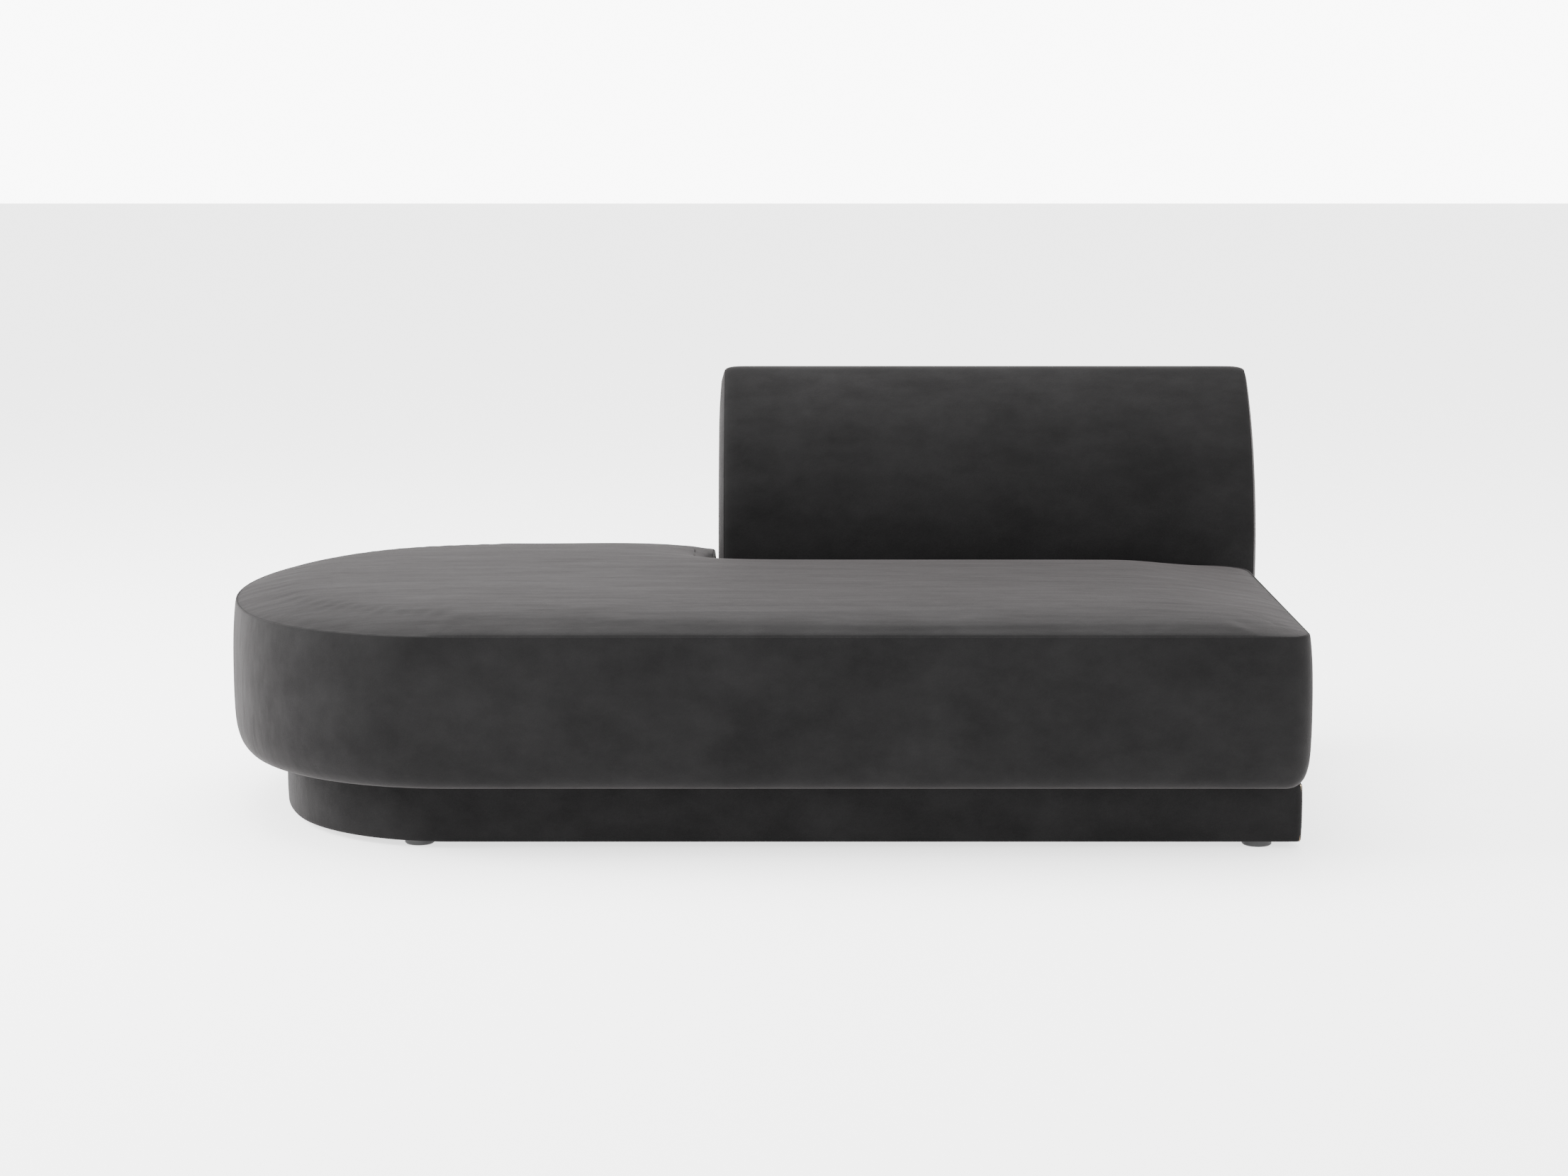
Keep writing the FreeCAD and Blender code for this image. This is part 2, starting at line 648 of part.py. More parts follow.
def build_seat_skins(crown):
    """The top panel, the side band turned under as far as the frame, and the lining below."""
    top_high = size("crown_high") + cover
    shell = rolled_block("TopPanelShell", ZERO, size("seam_level"), top_high, top_high,
                         size("crown_roll") + cover)
    keep(cut("TopPanel", shell, crown), "seat_cover_top")
    band_high = size("seam_level") - size("seat_low")
    outer = rolled_block("BandOuter", ZERO, size("seat_low"), band_high, ZERO, size("lower_roll"))
    inner = rolled_block("BandInner", cover, size("seat_low") + cover, band_high - cover, ZERO,
                         size("lower_roll") - cover)
    opening = plan_body("BandOpening", seat_frame_inset, seat_frame_right, size("seat_low"),
                        cover, notch=True)
    keep(drill("SideBand", outer, [inner, opening]), "seat_cover_band")
    lining = plan_body("Lining", seat_frame_inset, seat_frame_right, size("plinth_high"), cover,
                       notch=True)
    holes = [cylinder(f"LiningHole{number}", (x, y, size("plinth_high")), size("bolt_radius"),
                      cover) for number, (x, y) in enumerate(frame_bolt_places, start=1)]
    keep(drill("PiercedLining", lining, holes), "seat_bottom_lining")


# --------------------------------------------------------------------------- backrest
def profile_body(name, insets, base, left, right):
    """A block with the backrest's profile, between two places along X.  The insets are from the
    front and from the rear."""
    body = doc.addObject("PartDesign::Body", name)
    sketch = back_profile(body, f"{name}Profile", insets[0], insets[1], base)
    pad(body, f"{name}Pad", sketch, right - left)
    place(body, x=left)
    doc.recompute()
    return body


back_left = size("back_left")
back_right = size("back_right")
cover_left = back_left + size("end_pad_thick")
cover_right = back_right - size("end_pad_thick")
cover_span = cover_right - cover_left
board_inset = cover + size("back_foam_thick")
rib_inset = board_inset + size("curved_board_thick")
rear_inset = cover + size("rear_board_thick")
back_base = size("plinth_high")
frame_base = back_base + cover
bottom_rail_rear = size("tongue_rear") - size("tongue_thick")
bolt_heights = [frame_base + size("tongue_bolt_low"), frame_base + size("tongue_bolt_high")]


def back_slab(name, insets, base):
    """A block with the backrest's profile, as long as the space between its end panels."""
    return profile_body(name, insets, base, cover_left, cover_right)


def build_back_padding():
    """The end panels, the wrap-over cover, the foam, the bent board under it and the rear one."""
    for node, low, high in (("back_end_panel_left", back_left, cover_left),
                            ("back_end_panel_right", cover_right, back_right)):
        keep(profile_body(f"Profile_{node}", (ZERO, ZERO), back_base, low, high), node)
    skin = back_slab("BackSkin", (ZERO, ZERO), back_base)
    core = back_slab("BackCore", (cover, cover), frame_base)
    slits = [centred_box(f"CoverSlit{name}", (x, tongue_middle), slot_spans, back_base, cover)
             for name, x in tongue_places.items()]
    keep(drill("BackWrap", cut("BackWrapShell", skin, core), slits), "back_cover_wrap")
    foam = back_slab("BackFoamBlock", (cover, cover), frame_base)
    cavity = back_slab("BackFoamCavity", (board_inset, cover), frame_base)
    keep(cut("BackFoam", foam, cavity), "back_foam")
    bent = back_slab("BentBoardOuter", (board_inset, rear_inset), frame_base)
    relief = back_slab("BentBoardInner", (rib_inset, rear_inset), frame_base)
    keep(cut("BentBoard", bent, relief), "back_curved_board")
    rear = box("RearBoard", (cover_left, half_deep - rear_inset, frame_base),
               (cover_span, size("rear_board_thick"), size("rear_board_high")))
    keep(rear, "back_rear_board")


def tongue_bolt_places():
    return [(f"{name}{row}", x, z) for name, x in tongue_places.items()
            for row, z in zip(("Low", "High"), bolt_heights)]


def build_back_frame():
    """Four shaped ribs notched over a bottom, a middle and a top rail."""
    rib = size("rib_thick")
    high = size("back_rail_high")
    corners = {
        "back_bottom_rail": (bottom_rail_rear - rib, frame_base),
        "back_middle_rail": (bottom_rail_rear - rib, size("middle_rail_level")),
        "back_top_rail": (half_deep - size("top_rail_setback"), size("top_rail_level")),
    }
    boards = {node: box(f"Board_{node}", (cover_left, y, z), (cover_span, rib, high))
              for node, (y, z) in corners.items()}
    holes = [cylinder(f"RailHole{name}", (x, bottom_rail_rear - rib, z),
                      size("tongue_bolt_radius"), rib, rearwards=True)
             for name, x, z in tongue_bolt_places()]
    keep(drill("DrilledBottomRail", boards["back_bottom_rail"], holes), "back_bottom_rail")
    keep(boards["back_middle_rail"], "back_middle_rail")
    keep(boards["back_top_rail"], "back_top_rail")
    slots = fuse("RibSlots", [box(f"Slot_{node}", (cover_left, y, z), (cover_span, rib, high))
                              for node, (y, z) in corners.items()])
    ribs = []
    step = (cover_span - rib) / (RIB_COUNT - 1)
    for number in range(RIB_COUNT):
        left = cover_left + step * number
        blank = profile_body(f"RibBlank{number + 1}", (rib_inset, rear_inset), frame_base,
                             left, left + rib)
        ribs.append(cut(f"Rib{number + 1}", blank, slots))
    group("back_ribs", ribs)


def build_tongues():
    """Two steel tongues bolted behind the bottom rail; they drop into the plinth's sockets."""
    thick = size("tongue_thick")
    low = back_base - size("tongue_drop")
    tongues = []
    for name, x in tongue_places.items():
        blank = centred_box(f"TongueBlank{name}", (x, tongue_middle),
                            (size("tongue_wide"), thick), low, size("tongue_long"))
        holes = [cylinder(f"TongueHole{place_name}", (place_x, bottom_rail_rear, z),
                          size("tongue_bolt_radius"), thick, rearwards=True)
                 for place_name, place_x, z in tongue_bolt_places() if place_name.startswith(name)]
        tongues.append(drill(f"Tongue{name}", blank, holes))
    group("back_tongues", tongues)
    rib = size("rib_thick")
    bolts = [headed_pin(f"TongueBolt{name}", (x, bottom_rail_rear - rib, z),
                        size("tongue_bolt_radius"), rib + thick, size("tongue_bolt_head_radius"),
                        size("tongue_bolt_head_high"), rearwards=True)
             for name, x, z in tongue_bolt_places()]
    group("tongue_bolts", bolts)


build_plinth_frame()
build_corner_blocks()
build_plinth_skins()
build_glides()
build_sockets()
build_seat_frame()
build_seat_straps()
build_seat_skins(build_seat_padding())
build_back_padding()
build_back_frame()
build_tongues()
doc.recompute()

# --------------------------------------------------------------------------- checks and export
for item in doc.Objects:
    if "Invalid" in item.State or "Error" in item.State:
        raise RuntimeError(f"{item.Label} failed: {item.State}")
os.makedirs("parts", exist_ok=True)
for node, feature in exports.items():
    shape = feature.Shape
    if shape.isNull() or not shape.isValid():
        raise RuntimeError(f"{node} has no valid shape")
    shape.exportStep(f"parts/{node}.step")
print(len(exports), "sub-parts")
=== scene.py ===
# %% [markdown]
# # A round-ended daybed in charcoal velvet
#
# The rigid parts come from a design model that is loaded as a fixed frame.  This lesson adds what
# an upholsterer adds: the padded panels, their seams and the velvet.  Every length is in metres.
# The places of the panels are read from the frame.  A few radii and the softness of the padding are
# chosen here, and each of those numbers has a name.

# %% Load the frame
import json
import math

import bmesh
import bpy
import numpy as np
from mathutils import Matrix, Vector


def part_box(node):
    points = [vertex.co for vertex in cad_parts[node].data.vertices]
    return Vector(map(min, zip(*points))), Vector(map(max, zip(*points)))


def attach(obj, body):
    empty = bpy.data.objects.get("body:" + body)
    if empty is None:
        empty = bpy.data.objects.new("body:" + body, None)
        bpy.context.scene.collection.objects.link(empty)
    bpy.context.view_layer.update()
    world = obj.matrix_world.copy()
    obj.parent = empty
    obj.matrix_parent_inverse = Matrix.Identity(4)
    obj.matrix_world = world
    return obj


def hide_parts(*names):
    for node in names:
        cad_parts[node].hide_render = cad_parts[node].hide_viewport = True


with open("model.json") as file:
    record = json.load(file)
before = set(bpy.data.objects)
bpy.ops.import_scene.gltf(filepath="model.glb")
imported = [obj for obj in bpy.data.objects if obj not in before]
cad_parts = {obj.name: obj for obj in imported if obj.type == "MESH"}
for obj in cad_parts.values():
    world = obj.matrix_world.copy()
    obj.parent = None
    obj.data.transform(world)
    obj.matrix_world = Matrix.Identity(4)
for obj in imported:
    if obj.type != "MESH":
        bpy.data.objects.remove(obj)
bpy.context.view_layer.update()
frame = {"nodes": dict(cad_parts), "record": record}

# %% [markdown]
# ## Reading the sizes
#
# The seat's plan has a straight front, back and right side and a rounded left end.  The rounded end
# is one wide arc between two tighter ones, so its three centres are worked out from the boxes of
# the parts they belong to.  Keeping the plan as lines and arcs means that it can be drawn again at
# any distance inwards, which is how the rolled edges below are made.

# %% Sizes read from the frame
MM = 0.001
END_RADIUS = 700 * MM
TURN_RADIUS = 404 * MM

band_low, band_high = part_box("seat_cover_band")
crown_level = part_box("seat_cover_top")[1][2]
plinth_low, plinth_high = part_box("plinth_cover")
left_pad_low, left_pad_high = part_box("back_end_panel_left")
right_pad_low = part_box("back_end_panel_right")[0]

LEFT, FRONT = band_low[0], band_low[1]
RIGHT, BACK = band_high[0], band_high[1]
SEAT_LOW, SEAM = band_low[2], band_high[2]
CROWN = crown_level - SEAM
BACK_LEFT = left_pad_low[0]
BACK_FRONT, BACK_REAR = left_pad_low[1], left_pad_high[1]
BACK_BASE, BACK_TOP = left_pad_low[2], left_pad_high[2]
NOTCH_SIDE_GAP = 1.5 * MM
NOTCH_FRONT_GAP = 2 * MM
NOTCH_LEFT = BACK_LEFT - NOTCH_SIDE_GAP
NOTCH_FRONT = BACK_FRONT - NOTCH_FRONT_GAP

end_centre = LEFT + END_RADIUS
turn_side = BACK - TURN_RADIUS
spread = math.asin(turn_side / (END_RADIUS - TURN_RADIUS))
turn_centre = end_centre - (END_RADIUS - TURN_RADIUS) * math.cos(spread)
print("seat", round(RIGHT - LEFT, 3), "by", round(BACK - FRONT, 3), "seam at", round(SEAM, 3))

# %% [markdown]
# ## Drawing the plan at any inset
#
# A padded edge is a stack of copies of the same outline, each at its own height and each moved
# inwards by its own amount.  The outline is a chain of straight runs and arcs.  Moving it inwards
# shortens the radius of a corner that bulges out and lengthens that of the one that bends in, so
# the copies never cross.  All the copies are worked out at once: the insets are a column, the
# points along the outline are a row, and numpy multiplies them out.

# %% The plan outline
QUARTER = math.pi / 2
LEAST_RADIUS = 0.1 * MM
FEWEST_STEPS = 4
CORNER_STEPS = 12
INNER_CORNER_STEPS = 16


def run(start, end, count):
    """A straight run: the start plus a growing share of the way to the end, the end left out."""
    share = np.arange(count) / count
    return [first + (last - first) * share for first, last in zip(start, end)]


def bend(centre, radius, first, last, count):
    """An arc: the centre plus the radius times the cosine and sine of an angle that turns evenly
    from first to last, the last point left out."""
    angle = first + (last - first) * np.arange(count) / count
    return [centre[0] + radius * np.cos(angle), centre[1] + radius * np.sin(angle)]


def steps(length, pitch):
    """How many steps of about one pitch fit in a length."""
    return max(FEWEST_STEPS, int(round(length / pitch)))


def joined(pieces, row_count, axis):
    """One coordinate of all the runs and arcs, side by side, with a row for each inset."""
    shape = (row_count, 1)
    return np.hstack([np.broadcast_to(p[axis], np.broadcast_shapes(p[axis].shape, shape))
                      for p in pieces])


def plan_rows(insets, right_insets, corners, pitch, notch=True):
    """Copies of the plan, one row for each inset, counter-clockwise from the front right corner.
    The corners are the radii at the front right, the rear right, the notch's outer edge and the
    notch's inner edge.  A corner that bulges keeps its radius less the inset, but never under a
    tenth of a millimetre, and the inner one gains the inset."""
    d = np.asarray(insets, float)[:, None]
    right = RIGHT - np.asarray(right_insets, float)[:, None]
    front, back = FRONT + d, BACK - d
    front_r, rear_r, outer_r = (np.maximum(radius - d, LEAST_RADIUS) for radius in corners[:3])
    rear = NOTCH_FRONT - d if notch else back
    pieces = [
        bend((right - front_r, front + front_r), front_r, -QUARTER, 0, CORNER_STEPS),
        run((right, front + front_r), (right, rear - rear_r), steps(BACK - FRONT, pitch)),
        bend((right - rear_r, rear - rear_r), rear_r, 0, QUARTER, CORNER_STEPS),
    ]
    if notch:
        inner = corners[3]
        left = NOTCH_LEFT - d
        middle = (NOTCH_LEFT + inner, NOTCH_FRONT + inner)
        pieces += [
            run((right - rear_r, rear), (middle[0] + 0 * d, rear),
                steps(RIGHT - NOTCH_LEFT, pitch)),
            bend(middle, inner + d, -QUARTER, -2 * QUARTER, INNER_CORNER_STEPS),
            run((left, middle[1] + 0 * d), (left, back - outer_r),
                steps(BACK - NOTCH_FRONT, pitch)),
            bend((left - outer_r, back - outer_r), outer_r, 0, QUARTER, CORNER_STEPS),
            run((left - outer_r, back), (turn_centre + 0 * d, back),
                steps(NOTCH_LEFT - turn_centre, pitch)),
        ]
    else:
        pieces.append(run((right - rear_r, back), (turn_centre + 0 * d, back),
                          steps(RIGHT - turn_centre, pitch)))
    turn, end = TURN_RADIUS - d, END_RADIUS - d
    turn_steps = steps(TURN_RADIUS * (QUARTER - spread), pitch)
    pieces += [
        bend((turn_centre, turn_side), turn, QUARTER, math.pi - spread, turn_steps),
        bend((end_centre, 0), end, math.pi - spread, math.pi + spread,
             steps(2 * spread * END_RADIUS, pitch)),
        bend((turn_centre, -turn_side), turn, math.pi + spread, 3 * QUARTER, turn_steps),
        run((turn_centre + 0 * d, front), (right - front_r, front),
            steps(RIGHT - turn_centre, pitch)),
    ]
    return joined(pieces, len(d), 0), joined(pieces, len(d), 1)


SEAT_CORNERS = (0.045, 0.080, 0.030, 0.012)
PITCH = 10 * MM
outline = plan_rows([0.0], [0.0], SEAT_CORNERS, PITCH)[0]
print("points round the plan", outline.shape[1], "widest", round(float(np.ptp(outline)), 3))

# %% [markdown]
# ## Turning rows of points into a mesh
#
# A grid of points becomes a skin of four-sided faces: each point joins its right neighbour and the
# two above.  Wrapping the grid round joins its last column to its first, and its last row to its
# first where the skin is a closed tube.

# %% Grid to mesh
def grid_faces(rows, columns, wrap_columns, wrap_rows):
    """Each face is a point, its neighbour along the row, and the same two in the next row."""
    across = columns if wrap_columns else columns - 1
    along = rows if wrap_rows else rows - 1
    row, column = np.meshgrid(np.arange(along), np.arange(across), indexing="ij")
    next_column, next_row = (column + 1) % columns, (row + 1) % rows
    corners = [row * columns + column, row * columns + next_column,
               next_row * columns + next_column, next_row * columns + column]
    return np.stack(corners, axis=-1).reshape(-1, 4)


def make_piece(name, points, faces, merge=0.02 * MM):
    """Puts arrays of points and four-sided faces into a new smooth object at the origin."""
    mesh = bpy.data.meshes.new(name)
    mesh.vertices.add(len(points))
    mesh.vertices.foreach_set("co", np.ascontiguousarray(points, np.float32).ravel())
    mesh.loops.add(faces.size)
    mesh.loops.foreach_set("vertex_index", faces.ravel().astype(np.int32))
    mesh.polygons.add(len(faces))
    mesh.polygons.foreach_set("loop_start", np.arange(0, faces.size, 4, dtype=np.int32))
    mesh.update(calc_edges=True)
    piece = bpy.data.objects.new(name, mesh)
    bpy.context.scene.collection.objects.link(piece)
    tidy_mesh(piece, merge)
    return piece


def tidy_mesh(piece, merge):
    """Merges points that coincide, drops faces with no area and turns every face outwards."""
    work = bmesh.new()
    work.from_mesh(piece.data)
    bmesh.ops.remove_doubles(work, verts=work.verts, dist=merge)
    bmesh.ops.dissolve_degenerate(work, edges=work.edges, dist=merge / 4)
    bmesh.ops.recalc_face_normals(work, faces=work.faces)
    for face in work.faces:
        face.smooth = True
    open_edges = sum(1 for edge in work.edges if len(edge.link_faces) != 2)
    work.to_mesh(piece.data)
    work.free()
    print(piece.name, len(piece.data.polygons), "faces,", open_edges, "open edges")


def positions(piece):
    flat = np.empty(len(piece.data.vertices) * 3, np.float32)
    piece.data.vertices.foreach_get("co", flat)
    return flat.reshape(-1, 3).astype(float)


def move_points(piece, points):
    piece.data.vertices.foreach_set("co", np.ascontiguousarray(points, np.float32).ravel())
    piece.data.update()


# %% [markdown]
# ## The seat's side band
#
# The band is one strip of velvet over foam.  Seen in section it starts in the seam under the top
# panel, folds out over the seam allowance, bulges, drops almost straight and rolls under in a deep
# soft curve until it meets the plinth.  The section is a list of a few points, smoothed into a
# closed loop by a spline, and the loop is carried round the plan.

# %% Smooth sections
def smooth_section(knots, samples):
    """A closed Catmull-Rom spline: between two knots the curve is a cubic whose slope at each knot
    is half the step between its neighbours.  It is sampled evenly in each span."""
    knots = np.asarray(knots, float)
    before, after, beyond = (np.roll(knots, shift, axis=0) for shift in (1, -1, -2))
    t = (np.arange(samples) / samples)[None, :, None]
    a, b, c, e = (item[:, None, :] for item in (before, knots, after, beyond))
    curve = 0.5 * (2 * b + (c - a) * t + (2 * a - 5 * b + 4 * c - e) * t ** 2
                   + (3 * b - a - 3 * c + e) * t ** 3)
    return curve.reshape(-1, 2)


def carried_section(name, section, right_section, corners, pitch, notch):
    """A closed section carried round the plan.  A section point is an inset and a height."""
    x, y = plan_rows(section[:, 0], right_section, corners, pitch, notch)
    z = np.broadcast_to(section[:, 1][:, None], x.shape)
    points = np.stack([x, y, z], axis=-1).reshape(-1, 3)
    return make_piece(name, points, grid_faces(*x.shape, True, True))


# %% The side band
SEAM_INSET = 9 * MM

band_knots = np.array([
    (SEAM_INSET + 14 * MM, SEAM - 12 * MM), (SEAM_INSET + 4 * MM, SEAM - 3 * MM),
    (SEAM_INSET + 1.0 * MM, SEAM + 0.4 * MM), (SEAM_INSET - 1.0 * MM, SEAM + 0.6 * MM),
    (SEAM_INSET - 2.2 * MM, SEAM - 2.4 * MM), (SEAM_INSET - 3.8 * MM, SEAM - 14 * MM),
    (3.4 * MM, SEAM - 32 * MM), (1.5 * MM, SEAM - 60 * MM), (0.3 * MM, SEAM - 100 * MM),
    (0.0, SEAM - 140 * MM), (0.4 * MM, SEAM - 172 * MM), (1.8 * MM, SEAM - 206 * MM),
    (5.2 * MM, SEAM - 228 * MM), (12 * MM, SEAM - 246 * MM), (25 * MM, SEAM - 258 * MM),
    (48 * MM, SEAM - 263 * MM), (82 * MM, SEAT_LOW - 2.5 * MM), (110 * MM, SEAT_LOW - 3.5 * MM),
    (112 * MM, SEAT_LOW + 10 * MM), (60 * MM, SEAT_LOW + 120 * MM),
])
band_section = smooth_section(band_knots, 4)
seat_band = carried_section("seat_side_band", band_section, band_section[:, 0], SEAT_CORNERS,
                            PITCH, True)

# %% [markdown]
# ## The crown of the seat
#
# A cover stretched over soft foam has a simple law.  The cloth pulls every point towards the mean
# of its neighbours, and the foam pushes it towards the height that it would have if it were free.
# The height is nought along the seam.  Solved together, the two give a surface that leaves the seam
# steeply, rounds over a shoulder and is almost flat in the middle, with no crease at a corner.

# %% Height of a stretched cover
CELL = 10 * MM
SHOULDER = 78 * MM
CROWN_ROUNDS = 1500


def inside_plan(x, y, inset):
    """True where a point lies inside the plan moved inwards: inside the straight sides, inside the
    three arcs of the rounded end, and not in the notch."""
    sides = (x < RIGHT - inset) & (abs(y) < BACK - inset)
    notch = (x > NOTCH_LEFT - inset) & (y > NOTCH_FRONT - inset)
    round_x, round_y = RIGHT - SEAT_CORNERS[1], NOTCH_FRONT - SEAT_CORNERS[1]
    notch |= ((x > round_x) & (y > round_y)
              & (np.hypot(x - round_x, y - round_y) > SEAT_CORNERS[1] - inset))
    side_y = np.abs(y)
    from_turn = np.hypot(x - turn_centre, side_y - turn_side)
    from_end = np.hypot(x - end_centre, y)
    angle = np.arctan2(side_y, end_centre - x)
    tip = from_end < END_RADIUS - inset
    shoulder = (x > turn_centre) | (side_y < turn_side) | (from_turn < TURN_RADIUS - inset)
    return sides & ~notch & np.where(angle < spread, tip | (x > end_centre), shoulder)


def crown_field():
    """Heights on a grid of cells.  Each round sets every inner height to a weighted mean: the sum
    of its four neighbours plus the foam's share, over four plus that share."""
    xs = np.arange(LEFT - CELL, RIGHT + 2 * CELL, CELL)
    ys = np.arange(FRONT - CELL, BACK + 2 * CELL, CELL)
    grid_x, grid_y = np.meshgrid(xs, ys, indexing="ij")
    inner = inside_plan(grid_x, grid_y, SEAM_INSET)
    foam = (CELL / SHOULDER) ** 2
    height = np.zeros(grid_x.shape)
    for _ in range(CROWN_ROUNDS):
        around = (np.roll(height, 1, 0) + np.roll(height, -1, 0) + np.roll(height, 1, 1)
                  + np.roll(height, -1, 1))
        height = np.where(inner, (around + foam) / (4 + foam), 0.0)
    return xs, ys, height


def read_field(xs, ys, field, x, y):
    """The field between its grid points, by the shares of the four cells around."""
    u = np.clip((x - xs[0]) / CELL, 0, len(xs) - 1.001)
    v = np.clip((y - ys[0]) / CELL, 0, len(ys) - 1.001)
    i, j = u.astype(int), v.astype(int)
    u, v = u - i, v - j
    return ((1 - u) * (1 - v) * field[i, j] + u * (1 - v) * field[i + 1, j]
            + (1 - u) * v * field[i, j + 1] + u * v * field[i + 1, j + 1])


field_x, field_y, crown = crown_field()
print("crown fills", round(float(crown.max()), 3), "of its free height")

# %% [markdown]
# ## The seat's top panel
#
# Near the seam the rows of the mesh follow the plan inwards, so that the edge stays crisp.  Further
# in they close on a line along the middle of the seat.  Round the notch that line is shared out
# sideways, so that no two rows cross.  The crown stands a little above the design's own cover, and
# it falls away towards the right end.

# %% The top panel
PANEL_START = 1.2 * MM
RISE = CROWN + 8 * MM
FALL_WIDTH = 270 * MM
FALL_FRONT, FALL_REAR = 0.15, 0.70
EDGE_ROWS, TOP_ROWS, UNDER_ROWS = 14, 44, 16
EDGE_WIDTH, EDGE_EASE = 36 * MM, 1.6
LIP_SHARE, LIP_EASE, LIP_REACH = 0.06, 0.3, 5
TUCK, TUCK_DROP, UNDER_DROP = 14 * MM, 10 * MM, 12 * MM
SPREAD_FRONT, SPREAD_FRONT_REACH = 0.137, 0.4
SPREAD_REAR, SPREAD_REAR_REACH = 0.113, 0.3
spine_start, spine_end = np.array((-0.46, 0.0)), np.array((0.70, -0.11))


def spine_target(x, y):
    """The place on the middle line that a point of the outline runs to."""
    climb = np.clip((y - NOTCH_FRONT) / (BACK - NOTCH_FRONT), 0, 1)
    near = np.abs(x - NOTCH_LEFT)
    aim = x + np.where(y > 0, SPREAD_FRONT * (1 - climb) * np.exp(-near / SPREAD_FRONT_REACH)
                       - SPREAD_REAR * climb * np.exp(-near / SPREAD_REAR_REACH), 0)
    along = np.clip((aim - spine_start[0]) / (spine_end[0] - spine_start[0]), 0, 1)
    return (spine_start[0] + along * (spine_end[0] - spine_start[0]),
            spine_start[1] + along * (spine_end[1] - spine_start[1]))


def right_fall(x, y):
    """The share of the crown that is kept: it eases off towards the right end, more at the rear
    than at the front, by a smooth step over the last stretch of the seat."""
    near = np.clip((x - RIGHT + FALL_WIDTH) / FALL_WIDTH, 0, 1)
    rear = np.clip((y - FRONT) / (NOTCH_FRONT - FRONT), 0, 1)
    return 1 - (FALL_FRONT + FALL_REAR * rear) * near ** 2 * (3 - 2 * near)


def panel_points():
    """Rows from the middle of the underside, out to the seam and back over the crowned top."""
    edge = (SEAM_INSET + PANEL_START
            + EDGE_WIDTH * (np.arange(EDGE_ROWS) / (EDGE_ROWS - 1)) ** EDGE_EASE)
    x, y = plan_rows(edge, edge, SEAT_CORNERS, PITCH)
    spine_x, spine_y = spine_target(x[-1], y[-1])
    share = (np.arange(1, TOP_ROWS + 1) / TOP_ROWS)[:, None]
    top_x = np.vstack([x, x[-1] + (spine_x - x[-1]) * share])
    top_y = np.vstack([y, y[-1] + (spine_y - y[-1]) * share])
    rise = read_field(field_x, field_y, crown, top_x, top_y) / crown.max()
    rise = rise * right_fall(top_x, top_y)
    lip = np.concatenate([1 - np.exp(-np.linspace(0, LIP_REACH, EDGE_ROWS)), np.ones(TOP_ROWS)])
    lip = lip[:, None]
    top_z = (SEAM - PANEL_START
             + RISE * (rise * (1 - LIP_SHARE) + LIP_SHARE * lip) * lip ** LIP_EASE)
    tuck = SEAM_INSET + TUCK
    under_x, under_y = plan_rows([tuck], [tuck], SEAT_CORNERS, PITCH)
    back_share = (1 - np.arange(UNDER_ROWS) / UNDER_ROWS)[:, None]
    low_x = under_x + (spine_x - under_x) * back_share
    low_y = under_y + (spine_y - under_y) * back_share
    low_z = np.full(low_x.shape, SEAM - UNDER_DROP)
    rows = [np.vstack([low_x, under_x, top_x]), np.vstack([low_y, under_y, top_y]),
            np.vstack([low_z, np.full(under_x.shape, SEAM - TUCK_DROP), top_z])]
    return np.stack(rows, axis=-1)


panel_grid = panel_points()
seat_panel = make_piece("seat_top_panel", panel_grid.reshape(-1, 3),
                        grid_faces(*panel_grid.shape[:2], True, False))

# %% [markdown]
# ## Letting the cover settle
#
# The formula gives the foam's shape. The cover over it is cloth, so it is now handed to the cloth
# solver for twenty frames: air pressure stands for the foam's push, the rows at the seam are
# pinned, and gravity is off. No point may end further from where it began than a millimetre or
# two, which keeps the pad in its place and its wrinkles faint.

# %% Cloth on the top panel
SETTLE_FRAMES = 20
PINNED_ABOVE_SEAM = 1.5 * MM
COVER_PRESSURE = 4.0
COVER_CAP = 1.6 * MM


def settle(piece, pinned, pressure, cap):
    """Runs the cloth solver on a piece.  Each point then moves by its settled shift, shortened
    smoothly: the cap times the hyperbolic tangent of the shift's length over the cap."""
    group = piece.vertex_groups.new(name="seam")
    group.add([int(index) for index in np.flatnonzero(pinned)], 1.0, "REPLACE")
    start = positions(piece)
    modifier = piece.modifiers.new("cover", "CLOTH")
    cloth = modifier.settings
    cloth.quality, cloth.mass = 5, 0.3
    cloth.tension_stiffness = cloth.compression_stiffness = 12
    cloth.shear_stiffness, cloth.bending_stiffness = 4, 0.4
    cloth.vertex_group_mass = "seam"
    cloth.use_pressure, cloth.uniform_pressure_force = True, pressure
    cloth.effector_weights.gravity = 0
    modifier.point_cache.frame_start, modifier.point_cache.frame_end = 1, SETTLE_FRAMES
    for number in range(1, SETTLE_FRAMES + 1):
        bpy.context.scene.frame_set(number)
    settled = piece.evaluated_get(bpy.context.evaluated_depsgraph_get())
    flat = np.empty(len(start) * 3, np.float32)
    settled.data.vertices.foreach_get("co", flat)
    shift = flat.reshape(-1, 3) - start
    length = np.linalg.norm(shift, axis=1, keepdims=True)
    piece.modifiers.remove(modifier)
    bpy.context.scene.frame_set(1)
    move_points(piece, start + shift * (cap * np.tanh(length / cap) / np.maximum(length, 1e-9)))
    print(piece.name, "settled by up to", round(float(length.max()) * 1000, 1), "mm before the cap")


at = positions(seat_panel)
settle(seat_panel, at[:, 2] < SEAM + PINNED_ABOVE_SEAM, COVER_PRESSURE, COVER_CAP)

